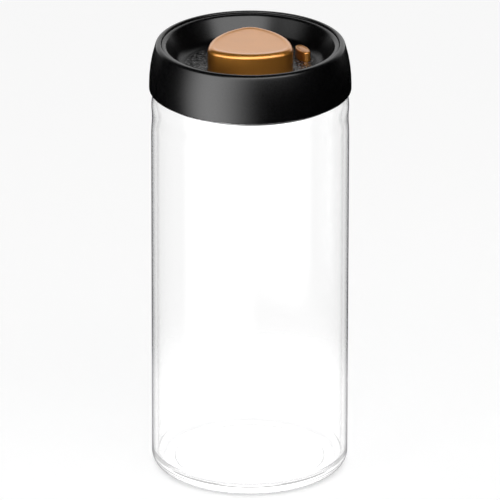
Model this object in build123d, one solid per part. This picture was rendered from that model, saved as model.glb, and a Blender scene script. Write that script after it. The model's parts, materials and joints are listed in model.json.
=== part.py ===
from build123d import *
from math import cos, pi, radians, sin, sqrt
import os

# Vacuum seal canister: a tall glass jar under a lid with a hand pump and a vent button.
# Millimetres. +Z is up, +X is to the right and +Y is away from the front.
# The origin is the centre of the jar's underside. Heights end in _z.

# Clearances
seat_gap = 0.2  # between faces that meet where one piece moves away from the other
slip_fit = 0.1  # round a piece that is pushed into another and stays there
run_fit = 0.3  # round a piece that slides in an opening
overrun = 1.0  # how far a cutter runs past what it cuts
turn_samples = 48  # points on each turn of a coil when its least gap is measured

# Glass jar
jar_radius = 52.0
jar_height = 218.5
glass_wall = 2.8
jar_base = 5.0
foot_rounding = 4.0
inside_rounding = 4.5
foot_recess = 0.6  # depth of the hollow inside the ring that the jar stands on
foot_width = 8.0
neck_inset = 0.8  # the neck steps in under the lid's skirt
neck_length = 9.5
bulge_drop = 15.5  # below the rim, where the wall comes back to its full radius
waist_inset = 0.35
waist_drop = 22.5
shoulder_drop = 30.0  # below the rim, where the plain wall ends

# Outer ring of the lid
skirt_clearance = 0.3
skirt_wall = 1.6
skirt_drop = 7.1  # below the jar's rim
skirt_rounding = 0.8
crest_rise = 16.2  # above the lid base's flange
crest_inset = 3.7  # how far the side leans in by the crest
crest_rounding = 2.1
lean_drop = 12.6  # below the crest, where the side starts to lean in
lean_radius = 70.0
seam_inset = 4.4  # from the neck's outside to the seam between ring and dish
seam_rounding = 0.8
inner_wall = 1.6  # wall of the ring beside the seam
channel_drop = 7.5  # below the crest, the top of the ring's hollow

# Dish in the middle of the lid
dish_wall = 4.4  # at the rim, which rolls over into the basin
dish_foot_wall = 2.0  # where the dish stands on the lid base's flange
dish_floor = 1.5
basin_depth = 12.9  # from the crest down to the floor of the dish
wall_draft = 0.4
cove_radius = 7.0
cove_relief = 3.9  # bevel under the cove that keeps the wall even
dish_rim_drop = 0.9  # below the crest
dish_rim_rounding = 0.5
dish_lip_rounding = 3.7  # on the rim's inner side

# Pump stroke and the air valves
pump_stroke = 7.0
valve_plate = 1.4  # web that each umbrella valve sits on
valve_radius = 6.0
valve_rise = 1.0
valve_lip = 0.4
valve_crown = 3.0
valve_stem_radius = 1.3
valve_bulb_radius = 1.9
valve_bulb = 1.0
valve_tip_radius = 0.8
port_circle = 4.0
port_radius = 0.9
port_count = 6

# Pump button, a rounded triangle with one corner at the back
button_side_reach = 20.5
button_corner_excess = 3.8  # how much further the corners reach than the sides
button_corner_rounding = 10.0
button_pressed_stand = 6.3  # what still stands above the dish at full stroke
button_wall = 1.6
button_top = 2.0
button_edge_rounding = 2.5
button_rim = 3.0  # from the outside to the shallow hollow on top
button_hollow = 0.5
button_flange = 2.0
button_flange_thickness = 1.2

# Pump cylinder
cylinder_wall = 1.6
cylinder_rise = 2.0  # rim of the cylinder above the floor of the dish, inside the button
spring_wire = 1.6
spring_clearance = 0.4
spring_turns = 5
gasket_inset = 1.8  # from the cylinder's outside to the gasket's groove
gasket_width = 2.2
gasket_thickness = 0.8
hook_clearance = 0.6  # inside the button's corners
hook_thickness = 1.1
hook_width = 4.0
hook_nose = 0.8
hook_rise = 0.9

# Piston
piston_clearance = 0.3
piston_height = 3.4
piston_drop = 0.4  # top of the piston below the cylinder's rim
piston_head_room = 0.6
piston_groove = 1.6
piston_seal_height = 1.8
piston_seal_clearance = 0.15
piston_land = 0.7  # below the seal
piston_pocket_radius = 7.2
piston_pocket = 1.3
piston_boss_radius = 2.8
piston_rounding = 0.3

# Lid base
flange_thickness = 2.0
plug_clearance = 1.0
plug_wall = 3.4
base_floor = 1.6
cover_pocket = 1.8
plug_rounding = 0.8
inlet_radius = 7.0
rim_gasket_drop = 2.0  # below the jar's rim
rim_gasket_height = 5.6
rim_gasket_depth = 1.6
rim_gasket_clearance = 0.3
rim_gasket_lips = 2
boss_radius = 3.0
boss_margin = 5.0  # from the lid screws' bosses to the plug's wall
boss_rise = 3.0

# Screws
lid_screw_count = 4
lid_screw_bearing = 75.0  # degrees from +X
lid_screw_length = 8.5
lid_screw_recess = 0.2
washer_thickness = 0.6
piston_screw_length = 8.0
screw_radius = 1.25
screw_head_radius = 2.3
screw_head = 1.3
cross_width = 0.7
cross_depth = 0.7
triple = 3  # the button's corners, each with a piston screw and a hook on the lid base
first_corner_bearing = 90.0

# Bottom cover and dust filter
cover_thickness = 1.0
cover_rim = 1.6
cover_recess = 0.2
filter_radius = 8.5
filter_thickness = 0.5
filter_fence = 1.0
grille_pitch = 3.2
grille_radius = 0.9
grille_rings = 2

# Vent button and its valve
vent_stroke = 2.5
vent_spacing = 9.7  # from the pump button's side to the vent's centre
vent_bearing = 24.3
vent_turn = -66.8
vent_length = 13.0
vent_width = 6.4
vent_end_rounding = 2.5
vent_pressed_stand = 2.5  # what still stands above the dish when pressed
vent_edge_rounding = 0.8
vent_rim = 1.2
vent_hollow = 0.4
vent_flange = 1.2
vent_flange_thickness = 1.2
vent_socket = 4.0
vent_stem_radius = 1.6
vent_foot_radius = 3.0
vent_foot = 0.8
vent_seal_radius = 3.8
vent_seal_thickness = 0.8
vent_guide_radius = 3.4
vent_guide_rise = 2.4
vent_flute_radius = 0.6
vent_flute_count = 3
vent_hole_clearance = 0.8
vent_spring_wire = 0.45
vent_spring_turns = 4

# Radii that follow from those sizes
neck_radius = jar_radius - neck_inset
neck_bore = neck_radius - glass_wall
skirt_radius = neck_radius + skirt_clearance
ring_radius = skirt_radius + skirt_wall
seam_radius = neck_radius - seam_inset
dish_radius = seam_radius - slip_fit
basin_radius = dish_radius - dish_wall
dish_foot_radius = dish_radius - dish_foot_wall
plug_radius = neck_bore - plug_clearance
plug_inner = plug_radius - plug_wall
groove_radius = plug_radius - rim_gasket_depth
cover_radius = plug_inner - slip_fit
cylinder_outer = button_side_reach - button_wall - spring_wire - 2 * spring_clearance
cylinder_radius = cylinder_outer - cylinder_wall
coil_radius = cylinder_outer + spring_clearance + spring_wire / 2
button_corner_reach = button_side_reach + button_corner_excess
hook_outer = button_corner_reach - button_wall - hook_clearance
hook_inner = hook_outer - hook_thickness
cylinder_flange_radius = hook_inner - slip_fit
gasket_outer = cylinder_outer - gasket_inset
gasket_inner = gasket_outer - gasket_width
piston_radius = cylinder_radius - piston_clearance
piston_groove_radius = piston_radius - piston_groove
piston_screw_circle = piston_groove_radius - piston_boss_radius - slip_fit
lid_screw_circle = plug_inner - boss_radius - boss_margin
vent_reach = button_side_reach + vent_spacing
vent_x = vent_reach * cos(radians(vent_bearing))
vent_y = vent_reach * sin(radians(vent_bearing))

# Heights that follow, from the jar's rim up to the crest
flange_low_z = jar_height + seat_gap
flange_top_z = flange_low_z + flange_thickness
crest_z = flange_top_z + crest_rise
skirt_low_z = jar_height - skirt_drop
dish_top_z = crest_z - basin_depth
dish_low_z = dish_top_z - dish_floor
button_top_z = dish_top_z + pump_stroke + button_pressed_stand
button_under_z = button_top_z - button_top
button_low_z = dish_low_z - seat_gap - button_flange_thickness

# Heights that follow, from the cylinder's rim down to the lid's underside
cylinder_top_z = dish_top_z + cylinder_rise
piston_top_z = cylinder_top_z - piston_drop
piston_low_z = piston_top_z - piston_height
web_low_z = piston_low_z + piston_pocket
web_top_z = web_low_z + valve_plate
cylinder_floor_z = piston_low_z - pump_stroke - piston_head_room - valve_rise
base_top_z = cylinder_floor_z - valve_plate
base_low_z = base_top_z - base_floor
plug_low_z = base_low_z - cover_pocket
groove_floor_z = base_top_z - gasket_thickness
boss_top_z = base_top_z + boss_rise
lid_screw_z = base_low_z + lid_screw_recess + screw_head
washer_top_z = lid_screw_z + washer_thickness
piston_screw_z = piston_low_z + screw_head + slip_fit
cover_low_z = plug_low_z + cover_recess
cover_top_z = cover_low_z + cover_thickness
groove_high_z = jar_height - rim_gasket_drop
groove_low_z = groove_high_z - rim_gasket_height
vent_top_z = dish_top_z + vent_stroke + vent_pressed_stand
vent_low_z = dish_low_z - seat_gap - vent_flange_thickness
vent_guide_z = base_top_z + vent_guide_rise
vent_seal_z = base_low_z - seat_gap


def turned(*corners):
    """A solid of revolution whose section has these corners: radius, height, rounding."""
    places = [(radius, height) for radius, height, _ in corners]
    roundings = [rounding for _, _, rounding in corners]
    return revolve(Plane.XZ * make_face(FilletPolyline(*places, radius=roundings, close=True)), Axis.Z)


def rod(radius, low, high):
    """A plain round rod on the Z axis between two heights."""
    return Pos(0, 0, low) * extrude(Circle(radius), high - low)


def around(shape, reach, count, first_bearing):
    """Copies of a shape on a circle about the Z axis, each turned to face outwards."""
    step = 360 / count
    return [Rot(0, 0, first_bearing + step * i) * Pos(reach, 0, 0) * shape for i in range(count)]


def button_outline(grow):
    """The pump button's rounded triangle, six tangent arcs, grown outwards by a distance."""
    corner_centre = button_corner_reach - button_corner_rounding
    excess = button_corner_excess
    side_centre = (2 * excess * corner_centre - excess**2) / (corner_centre - 2 * excess)
    corner_round = button_corner_rounding + grow
    side_round = button_side_reach + side_centre + grow

    def heading(bearing):
        return Vector(cos(radians(bearing)), sin(radians(bearing)))

    def meeting(corner, side):
        return corner + (corner - side).normalized() * corner_round

    arcs = []
    for k in range(triple):
        corner_bearing = first_corner_bearing + 360 / triple * k
        side_bearing = corner_bearing + 180 / triple
        corner = heading(corner_bearing) * corner_centre
        next_corner = heading(side_bearing + 180 / triple) * corner_centre
        side = heading(side_bearing) * -side_centre
        last_side = heading(corner_bearing - 180 / triple) * -side_centre
        tip = corner + heading(corner_bearing) * corner_round
        middle = side + heading(side_bearing) * side_round
        arcs.append(ThreePointArc(meeting(corner, last_side), tip, meeting(corner, side)))
        arcs.append(ThreePointArc(meeting(corner, side), middle, meeting(next_corner, side)))
    return make_face(arcs)


def vent_outline(grow):
    """The vent button's oval, in place: two end arcs and two side arcs, grown outwards."""
    end_centre = vent_length / 2 - vent_end_rounding
    half_width = vent_width / 2
    narrowing = half_width - vent_end_rounding
    side_radius = (end_centre**2 + half_width**2 - vent_end_rounding**2) / (2 * narrowing)
    toward = Vector(end_centre, side_radius - half_width).normalized()
    meeting = Vector(end_centre, 0) + toward * (vent_end_rounding + grow)
    x, y = meeting.X, meeting.Y
    reach = vent_length / 2 + grow
    arcs = [
        ThreePointArc((x, -y), (reach, 0), (x, y)),
        ThreePointArc((x, y), (0, half_width + grow), (-x, y)),
        ThreePointArc((-x, y), (-reach, 0), (-x, -y)),
        ThreePointArc((-x, -y), (0, -half_width - grow), (x, -y)),
    ]
    return Pos(vent_x, vent_y, 0) * Rot(0, 0, vent_turn) * make_face(arcs)


def prism(outline, low, high):
    """A flat outline raised between two heights."""
    return Pos(0, 0, low) * extrude(outline, high - low)


def screw(length):
    """A pan head screw with a cross recess, head upwards, its head's underside at zero."""
    head = turned(
        (0, 0, 0),
        (screw_head_radius, 0, 0),
        (screw_head_radius, screw_head, screw_head / 2),
        (0, screw_head, 0),
    )
    shank = turned(
        (0, 0, 0), (screw_radius, 0, 0), (screw_radius, screw_radius - length, 0), (0, -length, 0)
    )
    arm = Box(2 * screw_radius, cross_width, 2 * cross_depth)
    cross = Pos(0, 0, screw_head) * (arm + Rot(0, 0, 90) * arm)
    return head + shank - cross


def umbrella_valve():
    """A soft umbrella valve, the underside of its cap at zero and its stem pointing down."""
    return turned(
        (0, valve_rise, 0),
        (valve_crown, valve_rise, valve_lip),
        (valve_radius, valve_lip, valve_lip / 2),
        (valve_radius, 0, 0),
        (valve_stem_radius, 0, 0),
        (valve_stem_radius, -valve_plate, 0),
        (valve_bulb_radius, -valve_plate, 0),
        (valve_tip_radius, -valve_plate - valve_bulb, valve_tip_radius / 2),
        (0, -valve_plate - valve_bulb, 0),
    )


def valve_ports(low, high):
    """Cutters for the holes of one valve: its stem and the ring of air ports."""
    stem = rod(valve_stem_radius + slip_fit, low - overrun, high + overrun)
    port = rod(port_radius, low - overrun, high + overrun)
    return [stem, *around(port, port_circle, port_count, 0)]


def coil_path(radius, low, high, turns):
    """A coil's centre line: each quarter turn of a helix is two arcs that meet smoothly."""
    quarters = 4 * turns
    rise = (high - low) / (2 * pi * turns)

    def place(step):
        angle = step * pi / 2
        return Vector(radius * cos(angle), radius * sin(angle), low + rise * angle)

    def heading(step):
        angle = step * pi / 2
        return Vector(-radius * sin(angle), radius * cos(angle), rise).normalized()

    arcs = []
    for k in range(quarters):
        start, end = place(k), place(k + 1)
        out, back = heading(k), heading(k + 1)
        chord, both = end - start, out + back
        square = 2 * (1 - out.dot(back))
        reach = (sqrt(chord.dot(both) ** 2 + square * chord.dot(chord)) - chord.dot(both)) / square
        near, far = start + out * reach, end - back * reach
        middle = (near + far) * 0.5
        arcs.append(TangentArc(start, middle, tangent=out))
        arcs.append(TangentArc(middle, end, tangent=far - near))
    return Wire(arcs)


def coil(name, radius, low, high, turns, wire):
    """An open coil spring between two seats, as one unbroken tube."""
    path = coil_path(radius, low + wire / 2, high - wire / 2, turns)
    start = Plane(origin=path @ 0, z_dir=path % 0)
    samples = turn_samples * turns
    points = [path @ (i / samples) for i in range(samples + 1)]
    apart = [(a - b).length for i, a in enumerate(points) for b in points[i + turn_samples // 2 :]]
    print(f"{name}: least gap between turns {min(apart) - wire:.2f} mm")
    return sweep(start * Circle(wire / 2), path)


def glass_jar():
    """The jar: a thick foot, a plain wall, a faint waist and a neck that steps in."""

    def wall_edges(inset, foot_z):
        """One side of the wall, from the foot to the rim, moved in by a distance."""
        wall, neck = jar_radius - inset, neck_radius - inset
        waist = (wall - waist_inset, jar_height - waist_drop)
        shoulder_z, neck_z = jar_height - shoulder_drop, jar_height - neck_length
        bulge = (wall, jar_height - bulge_drop)
        curve = Spline((wall, shoulder_z), waist, bulge, (neck, neck_z), tangents=[(0, 1), (0, 1)])
        plain = Line((wall, foot_z), (wall, shoulder_z))
        return [plain, curve, Line((neck, neck_z), (neck, rim_low))]

    rim_low = jar_height - glass_wall / 2
    corner_z = jar_base + inside_rounding
    stand, inside = jar_radius - foot_rounding, jar_radius - glass_wall
    ring = stand - foot_width
    rim = ThreePointArc(
        (neck_radius, rim_low),
        (neck_radius - glass_wall / 2, jar_height),
        (neck_radius - glass_wall, rim_low),
    )
    edges = [
        TangentArc((stand, 0), (jar_radius, foot_rounding), tangent=(1, 0)),
        *wall_edges(0, foot_rounding),
        rim,
        *wall_edges(glass_wall, corner_z),
        TangentArc((inside, corner_z), (inside - inside_rounding, jar_base), tangent=(0, -1)),
        Line((inside - inside_rounding, jar_base), (0, jar_base)),
        Line((0, jar_base), (0, foot_recess)),
        Line((0, foot_recess), (ring - foot_recess, foot_recess)),
        Line((ring - foot_recess, foot_recess), (ring, 0)),
        Line((ring, 0), (stand, 0)),
    ]
    return revolve(Plane.XZ * make_face(edges), Axis.Z)


def outer_ring():
    """The ring that the hand grips: a skirt outside, a thin wall beside the dish, hollow between."""
    lean_z, channel_z = crest_z - lean_drop, crest_z - channel_drop
    lean_share = (channel_z - lean_z) / lean_drop
    return turned(
        (skirt_radius, skirt_low_z, 0),
        (ring_radius, skirt_low_z, skirt_rounding),
        (ring_radius, lean_z, lean_radius),
        (ring_radius - crest_inset, crest_z, crest_rounding),
        (seam_radius, crest_z, seam_rounding),
        (seam_radius, flange_top_z, 0),
        (seam_radius + inner_wall, flange_top_z, 0),
        (seam_radius + inner_wall, channel_z, 0),
        (skirt_radius - crest_inset * lean_share, channel_z, 0),
        (skirt_radius, flange_top_z + seat_gap, 0),
    )


def lid_dish():
    """The dish: a floor with both buttons' openings, a cove up to the rim, and screw bosses."""
    relief_radius = basin_radius - cove_relief
    bowl = turned(
        (0, dish_top_z, 0),
        (basin_radius - wall_draft, dish_top_z, cove_radius),
        (basin_radius, crest_z - dish_rim_drop, dish_lip_rounding),
        (dish_radius, crest_z - dish_rim_drop, dish_rim_rounding),
        (dish_radius, flange_top_z, 0),
        (dish_foot_radius, flange_top_z, 0),
        (dish_foot_radius, dish_low_z + dish_foot_radius - relief_radius, 0),
        (relief_radius, dish_low_z, 0),
        (0, dish_low_z, 0),
    )
    boss = rod(boss_radius, boss_top_z, dish_low_z + dish_floor / 2)
    pilot = rod(screw_radius + slip_fit, boss_top_z - overrun, dish_low_z)
    bowl += around(boss, lid_screw_circle, lid_screw_count, lid_screw_bearing)
    bowl -= around(pilot, lid_screw_circle, lid_screw_count, lid_screw_bearing)
    bowl -= prism(button_outline(run_fit), dish_low_z - overrun, dish_top_z + overrun)
    bowl -= prism(vent_outline(run_fit), dish_low_z - overrun, dish_top_z + overrun)
    return bowl


def lid_base():
    """The plug that enters the jar: a flange on the rim, a seal groove and a sealed floor."""
    base = turned(
        (inlet_radius, base_low_z, 0),
        (plug_inner, base_low_z, 0),
        (plug_inner, plug_low_z, 0),
        (plug_radius, plug_low_z, plug_rounding),
        (plug_radius, groove_low_z, 0),
        (groove_radius, groove_low_z, 0),
        (groove_radius, groove_high_z, 0),
        (plug_radius, groove_high_z, 0),
        (plug_radius, flange_low_z, 0),
        (neck_radius, flange_low_z, 0),
        (neck_radius, flange_top_z, 0),
        (plug_inner, flange_top_z, 0),
        (plug_inner, base_top_z, 0),
        (inlet_radius, base_top_z, 0),
    )
    boss = rod(boss_radius, base_low_z, boss_top_z)
    well = rod(screw_head_radius + slip_fit, base_low_z - overrun, washer_top_z)
    shank = rod(screw_radius + slip_fit, base_low_z, boss_top_z + overrun)
    base += around(boss, lid_screw_circle, lid_screw_count, lid_screw_bearing)
    base -= around(well + shank, lid_screw_circle, lid_screw_count, lid_screw_bearing)
    base -= rod(gasket_outer, groove_floor_z, base_top_z) - rod(gasket_inner, groove_floor_z, base_top_z)
    base += around(snap_hook(), 0, triple, first_corner_bearing)
    return base + vent_guide() - vent_bore()


def snap_hook():
    """One of the base's hooks that snap over the cylinder's flange, on the +X side."""
    nose_z = cylinder_floor_z + slip_fit / 2
    top_z = nose_z + hook_rise
    stem = Box(hook_thickness, hook_width, top_z - base_low_z)
    nose = Box(hook_thickness + hook_nose, hook_width, hook_rise)
    stem = Pos((hook_outer + hook_inner) / 2, 0, (top_z + base_low_z) / 2) * stem
    return stem + Pos((hook_outer + hook_inner - hook_nose) / 2, 0, (top_z + nose_z) / 2) * nose


def vent_guide():
    """The short tube on the base's floor that the vent's stem slides in."""
    return Pos(vent_x, vent_y, 0) * rod(vent_guide_radius, base_top_z - base_floor / 2, vent_guide_z)


def vent_bore():
    """Cutter for the vent's stem and the air flutes beside it."""
    low, high = base_low_z - overrun, vent_guide_z + overrun
    flute = rod(vent_flute_radius, low, high)
    flutes = around(flute, vent_stem_radius + slip_fit, vent_flute_count, 0)
    cutter = rod(vent_stem_radius + slip_fit, low, high) + flutes
    return Pos(vent_x, vent_y, 0) * cutter


def rim_gasket():
    """The silicone seal in the plug's groove, with lips that wipe the neck's bore."""
    low, high = groove_low_z + slip_fit, groove_high_z - slip_fit
    tip_radius = neck_bore - rim_gasket_clearance
    lip = (high - low) / rim_gasket_lips
    corners = [(groove_radius + slip_fit, high, 0), (groove_radius + slip_fit, low, 0)]
    for i in range(rim_gasket_lips):
        corners.append((plug_radius, low + lip * i, 0))
        corners.append((tip_radius, low + lip * (i + 0.5), seat_gap))
    corners.append((plug_radius, high, 0))
    return turned(*corners)


def bottom_cover():
    """The plate that closes the lid's underside, with an air grille and a hole for the vent."""
    cover = turned(
        (0, cover_low_z, 0),
        (cover_radius, cover_low_z, 0),
        (cover_radius, base_low_z, 0),
        (cover_radius - cover_rim, base_low_z, 0),
        (cover_radius - cover_rim, cover_top_z, 0),
        (0, cover_top_z, 0),
    )
    fence_radius = filter_radius + slip_fit
    fence = rod(fence_radius + filter_fence, cover_top_z, base_low_z - slip_fit)
    cover += fence - rod(fence_radius, cover_top_z, base_low_z)
    hole = rod(grille_radius, cover_low_z - overrun, cover_top_z + overrun)
    holes = [hole]
    for ring in range(1, grille_rings + 1):
        holes += around(hole, grille_pitch * ring, 6 * ring, 0)
    vent_hole = rod(vent_seal_radius + vent_hole_clearance, cover_low_z - overrun, base_low_z)
    return cover - holes - Pos(vent_x, vent_y, 0) * vent_hole


def dust_filter():
    """The pad of mesh that keeps crumbs out of the pump."""
    return rod(filter_radius, cover_top_z, cover_top_z + filter_thickness)


def pump_cylinder():
    """The pump's cylinder: a cup with the inlet valve in its floor and a flange outside."""
    cup = turned(
        (0, base_top_z, 0),
        (cylinder_flange_radius, base_top_z, 0),
        (cylinder_flange_radius, cylinder_floor_z, 0),
        (cylinder_outer, cylinder_floor_z, 0),
        (cylinder_outer, cylinder_top_z, 0),
        (cylinder_radius, cylinder_top_z, 0),
        (cylinder_radius, cylinder_floor_z, 0),
        (0, cylinder_floor_z, 0),
    )
    return cup - valve_ports(base_top_z, cylinder_floor_z)


def cylinder_gasket():
    """The flat ring that seals the cylinder's foot to the lid base."""
    outer = rod(gasket_outer - slip_fit, groove_floor_z, base_top_z)
    return outer - rod(gasket_inner + slip_fit, groove_floor_z, base_top_z)


def pump_button():
    """The hollow cap that is pressed, with a flange that stops it under the dish."""
    cap = prism(button_outline(0), button_low_z, button_top_z)
    cap = fillet(cap.edges().group_by(Axis.Z)[-1], button_edge_rounding)
    cap -= prism(button_outline(-button_rim), button_top_z - button_hollow, button_top_z)
    flange_top_z = button_low_z + button_flange_thickness
    cap += prism(button_outline(button_flange), button_low_z, flange_top_z)
    cap -= prism(button_outline(-button_wall), button_low_z, button_under_z)
    boss = rod(piston_boss_radius, piston_top_z, button_under_z + button_top / 2 - button_hollow)
    pilot = rod(screw_radius + slip_fit, piston_top_z, button_under_z)
    cap += around(boss, piston_screw_circle, triple, first_corner_bearing)
    return cap - around(pilot, piston_screw_circle, triple, first_corner_bearing)


def piston():
    """The piston: a seal groove, the exhaust valve's web and three screw wells underneath."""
    groove_low = piston_low_z + piston_land
    groove_high = groove_low + piston_seal_height
    body = turned(
        (0, web_low_z, 0),
        (piston_pocket_radius, web_low_z, 0),
        (piston_pocket_radius, piston_low_z, 0),
        (piston_radius, piston_low_z, piston_rounding),
        (piston_radius, groove_low, 0),
        (piston_groove_radius, groove_low, 0),
        (piston_groove_radius, groove_high, 0),
        (piston_radius, groove_high, 0),
        (piston_radius, piston_top_z, piston_rounding),
        (piston_pocket_radius, piston_top_z, 0),
        (piston_pocket_radius, web_top_z, 0),
        (0, web_top_z, 0),
    )
    well = rod(screw_head_radius + slip_fit, piston_low_z - overrun, piston_screw_z)
    hole = rod(screw_radius + slip_fit, piston_low_z, piston_top_z + overrun)
    body -= around(well + hole, piston_screw_circle, triple, first_corner_bearing)
    return body - valve_ports(web_low_z, web_top_z)


def piston_seal():
    """The soft ring round the piston, with a rounded edge against the cylinder."""
    low = piston_low_z + piston_land + slip_fit
    high = low + piston_seal_height - 2 * slip_fit
    inner = piston_groove_radius + slip_fit
    outer = cylinder_radius - piston_seal_clearance
    rounding = (high - low) / 3
    return turned((inner, low, 0), (outer, low, rounding), (outer, high, rounding), (inner, high, 0))


def vent_button():
    """The small oval button that lets air back in, with its stop flange and stem socket."""
    oval = prism(vent_outline(0), vent_low_z, vent_top_z)
    oval = fillet(oval.edges().group_by(Axis.Z)[-1], vent_edge_rounding)
    oval -= prism(vent_outline(-vent_rim), vent_top_z - vent_hollow, vent_top_z)
    oval += prism(vent_outline(vent_flange), vent_low_z, vent_low_z + vent_flange_thickness)
    socket = rod(vent_stem_radius + slip_fit / 2, vent_low_z, vent_low_z + vent_socket)
    return oval - Pos(vent_x, vent_y, 0) * socket


def vent_stem():
    """The rod from the vent button down to the seal, with a foot that carries the seal."""
    foot_top = vent_seal_z - vent_seal_thickness
    stem = turned(
        (0, foot_top - vent_foot, 0),
        (vent_foot_radius, foot_top - vent_foot, vent_foot / 3),
        (vent_foot_radius, foot_top, 0),
        (vent_stem_radius, foot_top, 0),
        (vent_stem_radius, vent_low_z + vent_socket - slip_fit, 0),
        (0, vent_low_z + vent_socket - slip_fit, 0),
    )
    return Pos(vent_x, vent_y, 0) * stem


def vent_seal():
    """The silicone washer that closes the vent from below."""
    low = vent_seal_z - vent_seal_thickness
    washer = rod(vent_seal_radius, low, vent_seal_z) - rod(vent_stem_radius, low, vent_seal_z)
    return Pos(vent_x, vent_y, 0) * washer


def pump_spring():
    """The coil round the cylinder that lifts the pump button."""
    low, high = cylinder_floor_z + slip_fit, button_under_z - slip_fit
    return coil("pump_spring", coil_radius, low, high, spring_turns, spring_wire)


def vent_spring():
    """The small coil round the vent's stem that holds the vent shut."""
    radius = (vent_stem_radius + vent_guide_radius) / 2
    low, high = vent_guide_z + slip_fit, vent_low_z - slip_fit
    spring = coil("vent_spring", radius, low, high, vent_spring_turns, vent_spring_wire)
    return Pos(vent_x, vent_y, 0) * spring


def lid_screws():
    """The screws that hold the lid base up against the dish, heads in their wells."""
    upright = Pos(0, 0, lid_screw_z) * Rot(180, 0, 0) * screw(lid_screw_length)
    return around(upright, lid_screw_circle, lid_screw_count, lid_screw_bearing)


def screw_washers():
    """The soft washers that seal the lid screws' heads."""
    outer, inner = screw_head_radius, screw_radius + slip_fit
    washer = rod(outer, lid_screw_z, washer_top_z) - rod(inner, lid_screw_z, washer_top_z)
    return around(washer, lid_screw_circle, lid_screw_count, lid_screw_bearing)


def piston_screws():
    """The screws that hold the piston to the pump button, heads in the piston's wells."""
    upright = Pos(0, 0, piston_screw_z) * Rot(180, 0, 0) * screw(piston_screw_length)
    return around(upright, piston_screw_circle, triple, first_corner_bearing)


nodes = {
    "glass_jar": glass_jar(),
    "outer_ring": outer_ring(),
    "lid_dish": lid_dish(),
    "lid_base": lid_base(),
    "rim_gasket": rim_gasket(),
    "bottom_cover": bottom_cover(),
    "dust_filter": dust_filter(),
    "pump_cylinder": pump_cylinder(),
    "cylinder_gasket": cylinder_gasket(),
    "inlet_valve": Pos(0, 0, cylinder_floor_z) * umbrella_valve(),
    "lid_screws": Compound(lid_screws()),
    "screw_washers": Compound(screw_washers()),
    "pump_spring": pump_spring(),
    "vent_spring": vent_spring(),
    "pump_button": pump_button(),
    "piston": piston(),
    "piston_seal": piston_seal(),
    "exhaust_valve": Pos(0, 0, web_top_z) * umbrella_valve(),
    "piston_screws": Compound(piston_screws()),
    "vent_button": vent_button(),
    "vent_stem": vent_stem(),
    "vent_seal": vent_seal(),
}

os.makedirs("parts", exist_ok=True)
for name, shape in nodes.items():
    export_step(shape, f"parts/{name}.step")
print(f"crest at {crest_z:.2f} mm, base floor at {base_top_z:.2f} mm, lid underside {plug_low_z:.2f} mm")
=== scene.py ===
# %% [markdown]
# # A vacuum seal canister
#
# The real object is a tall glass jar under a black lid. A bronze coloured button in the lid
# pumps the air out, and a small oval one beside it lets the air back in.
# The engineering model of it is already packed. This lesson loads that model as a fixed frame
# and dresses it: every piece that shows is modelled again with a finer surface, and every
# piece gets a finish made of shader nodes. All lengths are in metres.

# %% Load the engineering model
import bmesh
import bpy
import json
from math import atan2, ceil, cos, pi, radians, sin, tan
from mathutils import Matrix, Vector

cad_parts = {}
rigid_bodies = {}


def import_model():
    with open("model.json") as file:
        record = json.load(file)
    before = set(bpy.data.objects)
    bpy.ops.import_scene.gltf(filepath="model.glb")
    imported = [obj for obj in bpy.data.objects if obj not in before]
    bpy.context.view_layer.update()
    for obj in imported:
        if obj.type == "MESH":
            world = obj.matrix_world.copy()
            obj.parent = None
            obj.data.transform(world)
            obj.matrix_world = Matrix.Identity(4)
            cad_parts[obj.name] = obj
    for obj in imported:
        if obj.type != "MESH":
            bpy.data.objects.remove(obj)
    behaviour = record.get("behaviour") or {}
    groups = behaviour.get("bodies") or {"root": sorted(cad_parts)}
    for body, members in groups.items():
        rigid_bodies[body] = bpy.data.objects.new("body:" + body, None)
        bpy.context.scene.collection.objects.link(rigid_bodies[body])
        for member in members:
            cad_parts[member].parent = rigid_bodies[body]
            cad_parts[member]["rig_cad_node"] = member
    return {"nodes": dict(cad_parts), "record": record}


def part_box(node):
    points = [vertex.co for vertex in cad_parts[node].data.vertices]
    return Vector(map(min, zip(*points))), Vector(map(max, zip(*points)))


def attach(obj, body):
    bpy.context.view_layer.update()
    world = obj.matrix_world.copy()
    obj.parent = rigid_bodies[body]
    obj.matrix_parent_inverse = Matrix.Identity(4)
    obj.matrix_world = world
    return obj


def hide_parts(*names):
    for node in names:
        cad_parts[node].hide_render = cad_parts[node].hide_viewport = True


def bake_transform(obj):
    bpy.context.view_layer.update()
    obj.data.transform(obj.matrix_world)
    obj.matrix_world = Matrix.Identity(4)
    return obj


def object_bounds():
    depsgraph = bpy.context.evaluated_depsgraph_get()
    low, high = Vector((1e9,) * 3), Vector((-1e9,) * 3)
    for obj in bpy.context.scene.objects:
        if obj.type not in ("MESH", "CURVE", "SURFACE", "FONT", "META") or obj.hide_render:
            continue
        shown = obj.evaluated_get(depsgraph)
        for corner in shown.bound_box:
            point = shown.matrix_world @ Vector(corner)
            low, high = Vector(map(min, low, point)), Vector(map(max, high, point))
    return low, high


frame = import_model()
cad_low, cad_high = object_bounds()
nodes = frame["nodes"]
mm = 0.001
print("the model stands", round(cad_high.z - cad_low.z, 4), "m tall on", len(nodes), "nodes")

# %% [markdown]
# ## The camera
#
# The photograph looks down on the canister from the front. How round the lid's rim and the
# foot look gives the height of the camera, and how alike the widths of the glass are at its
# top and foot says that the camera stood far away with a long lens. Such a lens is set from
# the scale of the picture: how many pixels a metre takes at the canister's own distance.

# %% Place the camera
picture_width = 500
pixels_per_metre = 1894
camera_distance = 5.0
camera_elevation = radians(22.0)
camera_roll = radians(0.1)
camera_reach = 50
aim_height = 0.1199
sensor_width = 36

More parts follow.
